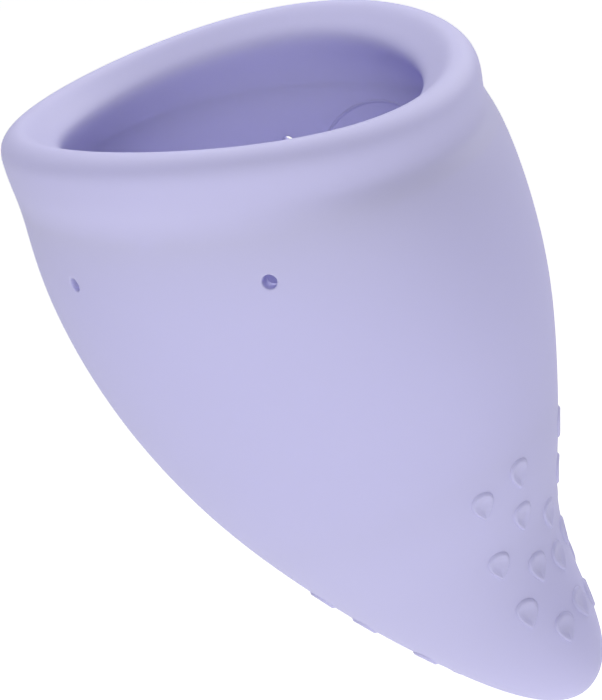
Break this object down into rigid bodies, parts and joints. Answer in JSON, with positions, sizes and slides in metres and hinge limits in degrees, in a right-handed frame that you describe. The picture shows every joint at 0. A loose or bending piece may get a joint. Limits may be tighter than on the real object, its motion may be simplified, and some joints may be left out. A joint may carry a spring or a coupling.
{
  "type": "menstrual cup",
  "caption": "Soft bell-shaped silicone cup with a thick bevelled rim, small air holes and a solid curved tail with raised teardrop grip dots.",
  "frame": {"origin": "on the ground under the middle of the bounding box, at the height of the tail's lowest point", "axes": "+Z out of the mouth, square to the rim's plane; +X towards the tip of the tail and the concave front; Y across, with the XZ plane as the plane of symmetry"},
  "size_m": [0.0492, 0.0424, 0.0629],
  "materials": {
    "silicone": "matte"
  },
  "bodies": {
    "root": {"rim": "silicone", "cup_wall": "silicone", "cup_floor": "silicone", "grip_tail": "silicone", "grip_dots_front": "silicone", "grip_dots_back": "silicone", "size_mark_ring": "silicone"}
  },
  "joints": []
}
